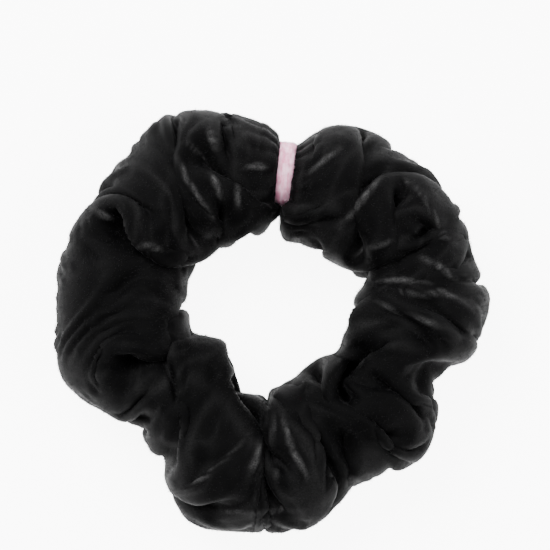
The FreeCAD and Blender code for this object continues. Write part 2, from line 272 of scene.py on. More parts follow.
def tube_profile(node):
    """Ring angle, middle, half width and half height of the CAD tube, in millimetres.

    Angles at which a ray runs along an edge of the tie's seat are left out.
    """
    tree = node_tree(node)
    far = 200 * MM
    middle = Vector((*RING_MIDDLE, CORE_HEIGHT)) * MM
    rows = []
    for degree in range(360):
        turn = math.radians(degree)
        outward = Vector((math.cos(turn), math.sin(turn), 0))
        inner = tree.ray_cast(middle, outward)[3]
        rim = tree.ray_cast(middle + outward * far, -outward)[3]
        if inner is None or rim is None or far - rim - inner < 2 * NECK_CLOTH_RADIUS * MM:
            continue
        outer = far - rim
        above = middle + outward * ((inner + outer) / 2) + Vector((0, 0, far))
        top = far - tree.ray_cast(above, Vector((0, 0, -1)))[3]
        rows.append((degree * MM, (inner + outer) / 2, (outer - inner) / 2, top))
    return np.array(rows).T / MM


def at_angle(profile, angles):
    """The tube's middle, half width and half height at those ring angles."""
    return [np.interp(angles, profile[0], values, period=360) for values in profile[1:]]


# ----------------------------------------------------------- cloth simulation


def moved(grid, rows, columns):
    """The grid's values that many rows and columns on."""
    return np.roll(grid, (-rows, -columns), (0, 1))


def lengths(vectors):
    """How long each vector is."""
    return np.linalg.norm(vectors, axis=-1)


def crease_line(profile, points):
    """A crease as points on the plane of the ring."""
    steps = np.linspace(0, len(points) - 1, CREASE_STEPS)
    angles, across = (np.interp(steps, range(len(points)), values) for values in zip(*points))
    middle, half_width, _ = at_angle(profile, angles)
    reach = middle + across * half_width
    turn = np.radians(angles)
    return np.stack([reach * np.cos(turn), reach * np.sin(turn)], -1)


def creases(profile, points):
    """How near each point is to a crease, from 0 to 1, and how deep that crease starts."""
    near = np.zeros(points.shape[:2])
    depths = np.zeros(points.shape[:2])
    for line_points, depth, width in CREASES:
        line = crease_line(profile, line_points)
        gap = np.hypot(points[..., 0, None] - line[:, 0], points[..., 1, None] - line[:, 1])
        share = np.exp(-((gap.min(-1) / width) ** 2))
        near = np.maximum(near, share)
        depths = np.maximum(depths, depth * share)
    return near, depths


def on_tube(profile, angles, turns):
    """Points of the tube at those ring angles and turns round the tube, a little inside it."""
    middle, half_width, half_height = at_angle(profile, angles)
    reach = middle + START_SIZE * half_width * np.cos(turns)
    height = CORE_HEIGHT + START_SIZE * half_height * np.sin(turns)
    ring_turn = np.radians(angles)
    return np.stack([reach * np.cos(ring_turn), reach * np.sin(ring_turn), height], -1)


def gathered_angles(profile, turns, column_lengths):
    """Ring angle of each point of the cloth: the spare length of each column is at its creases."""
    angles = np.linspace(NECK_ANGLE, NECK_ANGLE + 360, ANGLE_STEPS)
    points = on_tube(profile, angles[:, None] + 0 * turns, turns + 0 * angles[:, None])
    near = creases(profile, points)[0]
    steps = lengths(np.diff(points, axis=0))
    step_near = (near[1:] + near[:-1]) / 2
    spare = column_lengths - EASE * steps.sum(0)
    density = EASE * steps + spare * steps * step_near / (steps * step_near).sum(0)
    total = np.concatenate([np.zeros((1, len(turns))), np.cumsum(density, 0)])
    wanted = np.arange(ROWS) / ROWS
    return np.stack(
        [np.interp(wanted, column / column[-1], angles) for column in total.T], -1
    )


def tube_length_round(profile, cloth):
    """How far it is round the CAD tube at each row of the cloth."""
    middle = cloth.mean(1)
    angles = np.degrees(np.arctan2(middle[:, 1], middle[:, 0]))
    _, half_width, half_height = at_angle(profile, angles)
    return 2 * np.pi * np.sqrt((half_width**2 + half_height**2) / 2)


def neck_frame():
    """The neck's middle, and the directions out from the ring and along the tube."""
    turn = math.radians(NECK_ANGLE)
    outward = np.array([math.cos(turn), math.sin(turn), 0])
    along = np.array([-outward[1], outward[0], 0])
    middle = outward * NECK_REACH + np.array([0, 0, CORE_HEIGHT])
    return middle, outward, along


def starting_cloth(profile, turns, column_lengths, rng):
    """The tube on the ring before it grows: smooth, with creases started and a slight waver."""
    angles = gathered_angles(profile, turns, column_lengths)
    cloth = on_tube(profile, angles, turns + 0 * angles)
    near, depths = creases(profile, cloth)
    outward = cloth - cloth.mean(1, keepdims=True)
    outward /= lengths(outward)[..., None]
    waver = sum(
        rng.normal() * np.cos(waves * np.radians(angles) + rng.uniform(0, 2 * np.pi))
        for waves in WAVES
    )
    waver *= WAVER / np.abs(waver).max()
    return cloth + outward * (waver - depths)[..., None], near


def hold(cloth, rows_on, columns_on, rest, stiffness, push_only=False):
    """Moves pairs of points that many rows or columns apart towards their rest distance."""
    axis, count, stride = (0, ROWS, rows_on) if rows_on else (1, COLUMNS, columns_on)
    blocks = np.arange(count) // stride % 2
    for block in (0, 1):
        first = np.flatnonzero(blocks == block)
        second = (first + stride) % count
        start = cloth.take(first, axis)
        end = cloth.take(second, axis)
        if axis == 0:
            end = np.roll(end, -columns_on, 1)
        gap = end - start
        size = lengths(gap) + 1e-9
        excess = size - rest.take(first, axis)
        if push_only:
            excess = np.minimum(excess, 0)
        shift = gap * (0.5 * stiffness * excess / size)[..., None]
        if axis == 0:
            cloth[first] += shift
            cloth[second] -= np.roll(shift, columns_on, 1)
        else:
            cloth[:, first] += shift
            cloth[:, second] -= shift


def close_pairs(cloth, reach):
    """Points of different folds that are closer together than reach."""
    points = cloth.reshape(-1, 3)
    cells = np.floor((points - points.min(0)) / reach).astype(np.int64) + 1
    size = cells.max(0) + 2
    keys = (cells[:, 0] * size[1] + cells[:, 1]) * size[2] + cells[:, 2]
    order = np.argsort(keys, kind="stable")
    in_order = keys[order]
    firsts, seconds = [], []
    for across, along in ((0, 0), (0, 1), (1, -1), (1, 0), (1, 1)):
        wanted = keys + (across * size[1] + along) * size[2]
        low = np.searchsorted(in_order, wanted - 1, "left")
        count = np.searchsorted(in_order, wanted + 1, "right") - low
        first = np.repeat(np.arange(len(points)), count)
        offset = np.repeat(low - np.cumsum(count) + count, count)
        second = order[np.arange(count.sum()) + offset]
        if (across, along) == (0, 0):
            once = first < second
            first, second = first[once], second[once]
        firsts.append(first)
        seconds.append(second)
    first, second = np.concatenate(firsts), np.concatenate(seconds)
    rows_off = np.abs(first // COLUMNS - second // COLUMNS)
    columns_off = np.abs(first % COLUMNS - second % COLUMNS)
    rows_off = np.minimum(rows_off, ROWS - rows_off)
    columns_off = np.minimum(columns_off, COLUMNS - columns_off)
    apart = rows_off + columns_off > NEIGHBOURS
    first, second = first[apart], second[apart]
    near = lengths(points[second] - points[first]) < reach
    return first[near], second[near]


def keep_apart(cloth, first, second):
    """Moves folds that press into each other apart, to the cloth's own thickness."""
    points = cloth.reshape(-1, 3)
    gap = points[second] - points[first]
    size = lengths(gap) + 1e-6
    shift = gap * (APART_STIFFNESS * np.maximum(TOUCH - size, 0) / size)[:, None]
    for side in range(3):
        points[:, side] += np.bincount(second, shift[:, side], len(points))
        points[:, side] -= np.bincount(first, shift[:, side], len(points))


def section_place(cloth, profile):
    """Reach, reach of the tube's middle, and share of the way out to the CAD tube's surface."""
    reach = np.hypot(cloth[..., 0], cloth[..., 1])
    angles = np.degrees(np.arctan2(cloth[..., 1], cloth[..., 0]))
    middle, half_width, half_height = at_angle(profile, angles)
    up = cloth[..., 2] - CORE_HEIGHT
    return reach, middle, np.hypot((reach - middle) / half_width, up / half_height)


def keep_in_tube(cloth, profile, core):
    """Keeps the cloth inside the CAD tube, and no further in than the core's share of it."""
    reach, middle, share = section_place(cloth, profile)
    scale = np.where(share > 1, 1 - OUTSIDE_STIFFNESS * (1 - 1 / np.maximum(share, 1)), 1.0)
    pushed_out = 1 + CORE_STIFFNESS * (core / np.maximum(share, 0.1) - 1)
    scale = np.where(share < core, pushed_out, scale)
    cloth[..., :2] *= ((middle + (reach - middle) * scale) / reach)[..., None]
    height = CORE_HEIGHT + (cloth[..., 2] - CORE_HEIGHT) * scale
    cloth[..., 2] = np.maximum(height, FLOOR_CLEARANCE)


def keep_off_tie(cloth, side):
    """Keeps the cloth beside the tie on its own side of it."""
    middle, outward, along = neck_frame()
    offset = cloth - middle
    sideways = offset @ along
    radius = lengths(offset - sideways[..., None] * along)
    beside_tie = TIE_WIDTH / 2 + PILE_THICKNESS / 2
    room = np.interp(offset @ outward, BELOW_TIE, (BELOW_TIE_ROOM, beside_tie))
    short = np.maximum(room - side[:, None] * sideways, 0)
    near = (radius < TIE_REACH) & (side[:, None] != 0)
    cloth += np.where(near, side[:, None] * short, 0)[..., None] * along


def keep_off_elastic(cloth):
    """Keeps the cloth off the elastic, wherever its lap may slip to."""
    reach = np.hypot(cloth[..., 0], cloth[..., 1])
    out = reach - ELASTIC_REACH
    up = cloth[..., 2] - CORE_HEIGHT
    share = np.hypot(out / ELASTIC_ROOM[0], up / ELASTIC_ROOM[1])
    scale = 1 / np.clip(share, 0.2, 1)
    cloth[..., :2] *= ((ELASTIC_REACH + out * scale) / reach)[..., None]
    cloth[..., 2] = CORE_HEIGHT + up * scale


def gathered_tube(profile):
    """The velvet tube, gathered on its ring: a grid of points, rows by columns."""
    rng = np.random.default_rng(SEED)
    round_tube = 2 * np.pi * np.arange(COLUMNS) / COLUMNS
    hole_share = (1 + HOLE_SIDE_LENGTH) / 2 + (1 - HOLE_SIDE_LENGTH) / 2 * np.cos(round_tube)
    cloth, near = starting_cloth(profile, round_tube, FLAT_LENGTH * hole_share, rng)
    core = PUFF_DEPTH + (TUCK_DEPTH - PUFF_DEPTH) * np.clip(2 * near, 0, 1)
    pitch = FLAT_LENGTH / ROWS
    from_neck = np.arange(ROWS)
    from_neck = np.where(from_neck < ROWS / 2, from_neck, from_neck - ROWS) * pitch

    middle, outward, along = neck_frame()
    tied = np.abs(from_neck) < TIE_WIDTH / 2 + TIE_MARGIN
    for row in np.flatnonzero(tied):
        turned = np.cos(round_tube)[:, None] * outward
        turned = turned + np.sin(round_tube)[:, None] * np.array([0, 0, 1])
        place = middle + along * from_neck[row] * TIED_SHARE
        cloth[row] = place + NECK_CLOTH_RADIUS * turned
    side = np.where(tied | (np.abs(from_neck) > NECK_HELD), 0, np.sign(from_neck))
    held = np.clip((NECK_HELD - np.abs(from_neck)) / NECK_FADE, 0, 1)[:, None]
    keep_off_tie(cloth, side)

    long_rest = np.tile(pitch * hole_share, (ROWS, 1))
    round_length = ROUND_EASE * tube_length_round(profile, cloth)
    at_neck = np.interp(np.abs(from_neck), NECK_PLACES, NECK_ROUNDS)
    round_length = np.minimum(round_length, at_neck)
    round_rest = np.repeat(round_length[:, None] / COLUMNS, COLUMNS, 1)
    long_start = lengths(moved(cloth, 1, 0) - cloth)
    round_start = lengths(moved(cloth, 0, 1) - cloth)

    first_cloth = cloth.copy()
    ring_line = cloth.mean(1)
    draw = DRAW * (1 - CREASE_SHARE * near)[..., None]
    speed = np.zeros_like(cloth)
    for step in range(STEPS):
        grown = min(1, (step + 1) / GROWING_STEPS) * (1 - held)
        long_now = long_start * (1 - grown) + long_rest * grown
        round_now = round_start * (1 - grown) + round_rest * grown
        slant_now = np.hypot(long_now, round_now)
        before = cloth.copy()
        inward = -np.cross(
            moved(cloth, 1, 0) - moved(cloth, -1, 0), moved(cloth, 0, 1) - moved(cloth, 0, -1)
        )
        cloth = cloth + KEPT_SPEED * speed + draw * inward / 4
        first, second = close_pairs(cloth, FOLD_REACH * TOUCH)
        for _ in range(ROUNDS):
            hold(cloth, 1, 0, long_now, 1.0)
            hold(cloth, 0, 1, round_now, 1.0)
            hold(cloth, 1, 1, slant_now, SLANT_STIFFNESS)
            hold(cloth, 1, -1, slant_now, SLANT_STIFFNESS)
            for stride, stiffness, long_share, round_share in BENDS:
                hold(cloth, stride, 0, long_now * stride * long_share, stiffness, True)
                hold(cloth, 0, stride, round_now * stride * round_share, stiffness, True)
            keep_apart(cloth, first, second)
            keep_in_tube(cloth, profile, core)
            keep_off_elastic(cloth)
            cloth += CENTRING * (ring_line - cloth.mean(1))[:, None]
            cloth += NECK_STIFFNESS * held[..., None] * (first_cloth - cloth)
            keep_off_tie(cloth, side)
            cloth[tied] = first_cloth[tied]
        speed = np.clip(cloth - before, -TOP_SPEED, TOP_SPEED)
    return cloth


def close_below_tie(cloth):
    """Draws the two lobes together past the tie's inner end, where they meet."""
    middle, outward, along = neck_frame()
    offset = cloth - middle
    sideways = offset @ along
    past = np.clip((-CLOSE_FROM - offset @ outward) / CLOSE_RAMP, 0, 1)
    near = CLOSE_SHARE * past * np.exp(-((sideways / CLOSE_REACH) ** 2))
    return cloth - (near * sideways)[..., None] * along


def finer(grid, count, axis):
    """The grid with count points along that axis, on a smooth curve through the old ones."""
    old = grid.shape[axis]
    place = np.arange(count) * old / count
    low = np.floor(place).astype(int)
    t = (place - low).reshape([-1 if side == axis else 1 for side in range(grid.ndim)])
    before, start, end, after = (grid.take((low + step) % old, axis) for step in (-1, 0, 1, 2))
    return start + 0.5 * t * (
        end
        - before
        + t * (2 * before - 5 * start + 4 * end - after + t * (3 * (start - end) + after - before))
    )


# --------------------------------------------------------------- fine detail


def directions(vectors):
    """The same vectors, one long."""
    return vectors / (lengths(vectors)[..., None] + 1e-9)


def outward_of(grid):
    """The direction out of a grid of points that closes both ways."""
    along_rows = moved(grid, 1, 0) - moved(grid, -1, 0)
    along_columns = moved(grid, 0, 1) - moved(grid, 0, -1)
    return directions(np.cross(along_rows, along_columns))


def noise_at(*places):
    """Smooth noise, about -1 to 1, at those places."""
    flat = np.stack(np.broadcast_arrays(*places), -1).reshape(-1, 3).tolist()
    values = np.array([noise.noise(place) for place in flat])
    return values.reshape(np.broadcast_shapes(*(np.shape(place) for place in places)))


def ridge_share(profile, cloth, outward):
    """How near each point of the upper side is to a raised crease, from 0 to 1."""
    near = np.zeros(cloth.shape[:2])
    for points in RIDGES:
        line = crease_line(profile, points)
        gap = np.hypot(cloth[..., 0, None] - line[:, 0], cloth[..., 1, None] - line[:, 1])
        taper = np.sqrt(np.sin(np.pi * (np.arange(len(line)) + 0.5) / len(line)))
        near = np.maximum(near, (taper * np.exp(-((gap / RIDGE_WIDTH) ** 2))).max(-1))
    return near * np.clip(outward[..., 2], 0, 1) ** 2


def fine_cloth(cloth, profile):
    """The cloth with more points, its outward directions, and how much paler its pile is painted
    there, a painted highlight along the raised creases and wrinkles.

    It gains pleats at the tie, fine wrinkles, raised creases and the dip of the long seam.
    """
    cloth = close_below_tie(finer(finer(cloth, FINE_ROWS, 0), FINE_COLUMNS, 1))
    outward = outward_of(cloth)
    place = (np.arange(FINE_ROWS) * FLAT_LENGTH / FINE_ROWS)[:, None]
    from_neck = np.minimum(place, FLAT_LENGTH - place)
    turns = 2 * np.pi * np.arange(FINE_COLUMNS) / FINE_COLUMNS
    round_place = FLAT_ROUND * ((turns - SEAM_TURN) / (2 * np.pi) % 1)
    off_tie = np.clip((from_neck - OFF_TIE_FROM) / OFF_TIE_RAMP, 0, 1)

    phase = PLEATS * turns + 1.3 * np.sin(2 * turns + 0.7) + 0.9 * np.sin(5 * turns + 2.1)
    pleats = 2 * np.abs(np.sin(phase / 2 + np.sign(place - FLAT_LENGTH / 2))) - 1
    height = PLEAT_HEIGHT * off_tie * np.exp(-from_neck / PLEAT_LENGTH) * pleats

    wide = noise_at(place / WIDE_SIZE[0], round_place / WIDE_SIZE[1], 0.5)
    narrow = noise_at(place / NARROW_SIZE[0], round_place / NARROW_SIZE[1], 7.5)
    patches = noise_at(place / WRINKLED_PATCH, round_place / WRINKLED_PATCH, 3.5)
    narrow_lines = NARROW_SHARE * np.exp(-((narrow / NARROW_LINE) ** 2))
    wrinkles = np.exp(-((wide / WIDE_LINE) ** 2)) + narrow_lines
    share_out = section_place(cloth, profile)[2]
    shown = off_tie * np.clip((share_out - SHOWN_FROM) / SHOWN_RAMP, 0, 1)
    wrinkles *= np.clip(0.5 + 1.5 * patches, 0, 1) * shown
    ridges = ridge_share(profile, cloth, outward) * shown
    height = height + WRINKLE_HEIGHT * wrinkles + RIDGE_HEIGHT * ridges

    seam_gap = np.minimum(round_place, FLAT_ROUND - round_place)
    pucker = 1 + PUCKER * np.cos(2 * np.pi * place / STITCH_PITCH)
    dip = SEAM_DEPTH * np.exp(-((seam_gap / SEAM_WIDTH) ** 2)) * pucker * off_tie
    height = height - dip
    cloth = cloth + outward * height[..., None]
    cloth[..., 2] = np.maximum(cloth[..., 2], PILE_THICKNESS / 2 + FLOOR_GAP)
    # Paler colour along the raised creases and wrinkles: a painted highlight, the sheen that bent
    # pile catches there.
    painted_sheen = np.clip(np.maximum(WRINKLE_SHEEN * wrinkles, ridges**2), 0, 1)
    return cloth, outward_of(cloth), painted_sheen


# -------------------------------------------------------------------- pieces


def add_mesh(name, vertices, faces, material):
    """A mesh object from points in millimetres and faces of any size."""
    mesh = bpy.data.meshes.new(name)
    mesh.from_pydata((np.asarray(vertices) * MM).tolist(), [], faces)
    mesh.polygons.foreach_set("use_smooth", [True] * len(mesh.polygons))
    mesh.materials.append(material)
    mesh.update()
    thing = bpy.data.objects.new(name, mesh)
    bpy.context.scene.collection.objects.link(thing)
    return thing


def grid_faces(rows, columns, closed=True):
    """Faces of a grid that closes round its columns, and round its rows too or with two caps."""
    row = np.arange(rows if closed else rows - 1)[:, None]
    column = np.arange(columns)[None, :]
    next_row = (row + 1) % rows
    next_column = (column + 1) % columns
    corners = [
        row * columns + column,
        next_row * columns + column,
        next_row * columns + next_column,
        row * columns + next_column,
    ]
    faces = np.stack(corners, -1).reshape(-1, 4).tolist()
    if not closed:
        faces.append(list(range(columns)))
        faces.append(list(range((rows - 1) * columns, rows * columns))[::-1])
    return faces


def in_row_frame(points):
    """Points measured from the ring's middle, in the frame of the model."""
    return points + np.array([*RING_MIDDLE, 0])


def velvet_cover(cloth, painted_sheen):
    """The velvet as a closed shell of its own thickness."""
    points = in_row_frame(cloth.reshape(-1, 3))
    cover = add_mesh("velvet", points, grid_faces(FINE_ROWS, FINE_COLUMNS), velvet_material())
    # The painted highlight along the creases and wrinkles goes to the material as a point
    # attribute.
    attribute = cover.data.attributes.new("painted_sheen", "FLOAT", "POINT")
    attribute.data.foreach_set("value", painted_sheen.ravel())
    shell = cover.modifiers.new("thickness", "SOLIDIFY")
    shell.thickness = PILE_THICKNESS * MM
    shell.offset = 0
    return cover


def add_fibres(name, roots, leans, sizes, width, rng, material):
    """Closed tapered fibres, three-sided, from their roots along their leans."""
    along = directions(leans)
    across = directions(np.cross(along, rng.normal(size=roots.shape)))
    other = np.cross(along, across)
    corners = [
        roots + width / 2 * (math.cos(turn) * across + math.sin(turn) * other)
        for turn in (0, 2 * math.pi / 3, 4 * math.pi / 3)
    ]
    points = np.stack([*corners, roots + along * sizes[:, None]], 1)
    pattern = np.array([[0, 2, 1], [0, 1, 3], [1, 2, 3], [2, 0, 3]])
    faces = (4 * np.arange(len(roots))[:, None, None] + pattern).reshape(-1, 3)
    return add_mesh(name, points.reshape(-1, 3), faces.tolist(), material)


def velvet_pile(cloth, outward, rng):
    """The pile's longer fibres, which lean the way the pile was last brushed."""
    row = rng.integers(0, FINE_ROWS, PILE_FIBRES)
    column = rng.integers(0, FINE_COLUMNS, PILE_FIBRES)
    share = rng.random((2, PILE_FIBRES, 1))
    corner = cloth[row, column]
    along = cloth[(row + 1) % FINE_ROWS, column] - corner
    across = cloth[row, (column + 1) % FINE_COLUMNS] - corner
    roots = corner + share[0] * along + share[1] * across
    up = outward[row, column]
    brushed = noise_at(row / BRUSH_SIZE, column / BRUSH_SIZE, 0.5)[:, None]
    leans = up + brushed * directions(along) + PILE_LEAN * directions(across)
    leans = leans + PILE_SPREAD * rng.normal(size=leans.shape)
    place = row * FLAT_LENGTH / FINE_ROWS
    clear = np.minimum(place, FLAT_LENGTH - place) > TIE_WIDTH / 2 + 1
    clear &= roots[:, 2] + PILE_REACH * up[:, 2] > PILE_FLOOR
    roots = roots + (PILE_THICKNESS / 2 - PILE_ROOT) * up
    sizes = rng.uniform(*PILE_LENGTHS, PILE_FIBRES)
    return add_fibres(
        "velvet_pile",
        in_row_frame(roots[clear]),
        leans[clear],
        sizes[clear],
        PILE_WIDTH,
        rng,
        pile_material(),
    )


def tube_along(points):
    """A round thread with tapered ends along some points: its own points and faces.

    Its faces are turned inward, which is a known fault.
    """
    along = directions(np.gradient(points, axis=0))
    across = directions(np.cross(along, [0.3, 0.2, 1.0]))
    other = np.cross(along, across)
    turns = 2 * np.pi * np.arange(THREAD_SIDES) / THREAD_SIDES
    taper = np.full(len(points), THREAD_RADIUS)
    taper[[0, -1]] *= 0.5
    ring = np.cos(turns)[:, None] * across[:, None] + np.sin(turns)[:, None] * other[:, None]
    faces = grid_faces(len(points), THREAD_SIDES, False)
    return points[:, None] + taper[:, None, None] * ring, faces


def join(parts):
    """Several (points, faces) as one."""
    points, faces, count = [], [], 0
    for part_points, part_faces in parts:
        part_points = part_points.reshape(-1, 3)
        points.append(part_points)
        faces.extend([[count + corner for corner in face] for face in part_faces])
        count += len(part_points)
    return np.concatenate(points), faces


def seam_line(cloth):
    """The long seam inside the cloth: its points, the way in, and the way across it."""
    line = cloth[:, round(FINE_COLUMNS * SEAM_TURN / (2 * np.pi))]
    inward = cloth.mean(1) - line
    room = np.clip(lengths(inward) / SEAM_ROOM, 0.2, 1)[:, None]
    along = np.roll(line, -1, 0) - np.roll(line, 1, 0)
    return line, room * directions(inward), directions(np.cross(inward, along))


def seam_allowance(cloth, material):
    """The two raw edges of the velvet, turned inside the tube along the seam."""
    line, inward, across = seam_line(cloth)
    first = round(FINE_ROWS * SEAM_BREAK / FLAT_LENGTH)
    rows = slice(first, FINE_ROWS - first)
    section = []
    for rise, side in SEAM_SECTION:
        section.append(line[rows] + rise * inward[rows] + side * SEAM_HALF * across[rows])
    points = np.stack(section, 1)
    faces = grid_faces(points.shape[0], points.shape[1], False)
    return add_mesh("velvet_seam_allowance", in_row_frame(points.reshape(-1, 3)), faces, material)


def seam_stitches(cloth, material):
    """The long seam's stitches, on the two faces of its allowance in turn."""
    line, inward, across = seam_line(cloth)
    pitch = FLAT_LENGTH / FINE_ROWS
    stitches = []
    half = STITCH_LENGTH / 2
    for index, middle in enumerate(np.arange(SEAM_BREAK, FLAT_LENGTH - SEAM_BREAK, STITCH_PITCH)):
        places = np.linspace(middle - half, middle + half, STITCH_POINTS) / pitch
        side = SEAM_HALF if index % 2 else -SEAM_HALF
        track = line + STITCH_RISE * inward + side * across
        points = [np.interp(places, range(FINE_ROWS), track[:, axis]) for axis in range(3)]
        stitches.append(tube_along(np.stack(points, -1)))
    points, faces = join(stitches)
    return add_mesh("long_seam_stitches", in_row_frame(points), faces, material)


def tie_band():
    """The ribbon's surface: points by row along it and column round it."""
    angles = np.linspace(-TIE_LAP / 2, 360 + TIE_LAP / 2, TIE_ROWS)[:, None]
    step = np.clip((angles - TIE_STEP_END + TIE_STEP) / TIE_STEP, 0, 1)
    radius = TIE_RADIUS + LAP_RISE * step**2 * (3 - 2 * step)
    turns = 2 * np.pi * np.arange(TIE_COLUMNS) / TIE_COLUMNS
    ring_turn = np.radians(angles)
    half_width = TIE_WIDTH / 2 * (TIE_MEAN_WIDTH + TIE_WIDER_OUTSIDE * np.sin(ring_turn))
    end = np.minimum(np.arange(TIE_ROWS), np.arange(TIE_ROWS)[::-1])[:, None]
    blunt = np.sqrt(np.clip((end + 0.6) / TIE_END_ROWS, 0, 1))
    thick = np.sign(np.cos(turns)) * np.abs(np.cos(turns)) ** TIE_ROUNDING
    wide = np.sign(np.sin(turns)) * np.abs(np.sin(turns)) ** TIE_ROUNDING
    lumps = noise_at(radius * ring_turn / TIE_LUMP_SIZE, 1.8 * wide + 0 * ring_turn, 0.5)
    lumps = 1 + TIE_LUMPS * lumps * np.clip(thick, 0, 1)
    rise = TIE_THICKNESS / 2 * thick * lumps * blunt
    sideways = half_width * wide * (1 + 0.05 * lumps) * (0.9 + 0.1 * blunt)
    reach = radius + rise
    middle, outward, along = neck_frame()
    band = middle + (reach * np.sin(ring_turn))[..., None] * outward
    band = band - sideways[..., None] * along
    band[..., 2] -= reach * np.cos(ring_turn)
    return band, angles[:, 0], thick


def ribbon_tie():
    """The plush ribbon round the neck."""
    band = tie_band()[0]
    faces = grid_faces(TIE_ROWS, TIE_COLUMNS, False)
    return add_mesh("plush_ribbon", in_row_frame(band.reshape(-1, 3)), faces, plush_material())


def ribbon_pile(rng):
    """The ribbon's plush: fibres from its outer side and its edges."""
    band, angles, thick = tie_band()
    row = rng.integers(1, TIE_ROWS - 1, TIE_FIBRES)
    column = rng.integers(0, TIE_COLUMNS, TIE_FIBRES)
    showing = (thick[column] > -0.3) & (angles[row] > TIE_LAP / 2)
    row, column = row[showing], column[showing]
    corner = band[row, column]
    along = band[row + 1, column] - corner
    across = band[row, (column + 1) % TIE_COLUMNS] - corner
    share = rng.random((2, len(row), 1))
    roots = corner + share[0] * along + share[1] * across
    up = directions(np.cross(across, along))
    away = directions(roots - neck_frame()[0])
    up *= np.sign((up * away).sum(-1) + 0.2)[:, None]
    leans = up + TIE_FIBRE_SPREAD * rng.normal(size=up.shape)
    sizes = rng.uniform(*TIE_FIBRE_LENGTHS, len(row))
    return add_fibres(
        "plush_pile",
        in_row_frame(roots - TIE_FIBRE_ROOT * up),
        leans,
        sizes,
        TIE_FIBRE_WIDTH,
        rng,
        plush_material("plush_fibres"),
    )


# ----------------------------------------------------------------- materials


class Nodes:
    """Builds a material's nodes one after another."""

    def __init__(self, name, colour, roughness, **sockets):
        self.material = bpy.data.materials.new(name)
        self.material.use_nodes = True
        self.tree = self.material.node_tree
        self.shader = self.tree.nodes["Principled BSDF"]
        self.shader.inputs["Base Color"].default_value = (*colour, 1)
        self.shader.inputs["Roughness"].default_value = roughness
        for socket, value in sockets.items():
            self.shader.inputs[socket.replace("_", " ")].default_value = value
        self.place = self.add("ShaderNodeTexCoord").outputs["Object"]

    def add(self, kind, links=None, **settings):
        """A node, with its inputs given by name: a value, or an output to link."""
        node = self.tree.nodes.new(kind)
        for key, value in settings.items():
            setattr(node, key, value)
        for key, value in (links or {}).items():
            if isinstance(value, bpy.types.NodeSocket):
                self.tree.links.new(value, node.inputs[key])
            else:
                node.inputs[key].default_value = value
        return node

    def noise(self, size, detail=2.0, roughness=0.5, stretch=(1, 1, 1)):
        """Noise with lumps about that many millimetres apart, longer where stretch is less."""
        place = self.add("ShaderNodeVectorMath", {0: self.place, 1: stretch}, operation="MULTIPLY")
        links = {"Vector": place.outputs[0], "Scale": 1 / (size * MM), "Detail": detail}
        links["Roughness"] = roughness
        return self.add("ShaderNodeTexNoise", links).outputs["Fac"]

    def bands(self, pitch, direction):
        """Even bands that many millimetres apart."""
        links = {"Vector": self.place, "Scale": math.pi / 10 / (pitch * MM)}
        wave = self.add("ShaderNodeTexWave", links, bands_direction=direction)
        return wave.outputs["Fac"]

    def maths(self, operation, first, second):
        """The sum, product or other such result of two values."""
        node = self.add("ShaderNodeMath", {0: first, 1: second}, operation=operation)
        return node.outputs[0]

    def between(self, value, low, high, start=0.3, end=0.7):
        """The value stretched from start..end to low..high."""
        links = {0: value, 1: start, 2: end, 3: low, 4: high}
        return self.add("ShaderNodeMapRange", links).outputs[0]

    def blend(self, share, first, second):
        """A colour between two others."""
        links = {"Factor": share, "A": (*first, 1), "B": (*second, 1)}
        node = self.add("ShaderNodeMix", None, data_type="RGBA")
        for key, value in links.items():
            socket = next(s for s in node.inputs if s.name == key and s.enabled)
            if isinstance(value, bpy.types.NodeSocket):
                self.tree.links.new(value, socket)
            else:
                socket.default_value = value
        return next(s for s in node.outputs if s.enabled)

    def bump(self, height, depth, strength, under=None):
        """The surface's direction with that height, that many millimetres deep, on it."""
        links = {"Height": height, "Distance": depth * MM, "Strength": strength}
        if under is not None:
            links["Normal"] = under
        return self.add("ShaderNodeBump", links).outputs["Normal"]

    def wear(self, colour=None, roughness=None, normal=None):
        """Links the shader to what was built, and gives the material."""
        inputs = {"Base Color": colour, "Roughness": roughness, "Normal": normal}
        for socket, source in inputs.items():
            if source is not None:
                self.tree.links.new(source, self.shader.inputs[socket])
        return self.material


def velvet_material():
    """Black crushed velvet: paler where its pile is bent over at the raised creases and wrinkles,
    which is a painted highlight, with a fine grain.
    """
    nodes = Nodes(
        "black_velvet",
        (0.005, 0.005, 0.0055),
        0.8,
        Specular_IOR_Level=0.03,
        Sheen_Weight=0.2,
        Sheen_Roughness=0.3,
        Sheen_Tint=(0.08, 0.08, 0.083, 1),
    )
    # The paler colour is the painted highlight along the creases, broken up by the grain, added to
    # random paler patches of the velvet's own tone.
    painted_sheen = nodes.add("ShaderNodeAttribute", None, attribute_name="painted_sheen").outputs["Fac"]
    grain = nodes.noise(0.35, 3.0, 0.7)
    patches = nodes.noise(9.0, 4.0, 0.6)
    speckled_sheen = nodes.maths("MULTIPLY", painted_sheen, nodes.between(grain, 0.2, 1.0, 0.35, 0.6))
    patchy = nodes.between(patches, 0.0, 0.03, 0.45, 0.75)
    pale = nodes.maths("ADD", speckled_sheen, patchy)
    colour = nodes.blend(pale, (0.001, 0.001, 0.0011), (0.07, 0.0695, 0.07))
    roughness = nodes.between(patches, 0.55, 0.85)
    soft = nodes.bump(nodes.noise(1.6, 3.0, 0.6), 0.3, 0.35)
    return nodes.wear(colour, roughness, nodes.bump(grain, 0.12, 0.5, soft))


def pile_material():
    """The pile's fibres: a little paler at random."""
    nodes = Nodes("black_pile", (0.012, 0.012, 0.013), 0.8, Specular_IOR_Level=0.05)
    colour = nodes.blend(nodes.noise(2.5, 4.0, 0.7), (0.001, 0.001, 0.001), (0.028, 0.028, 0.029))
    return nodes.wear(colour)


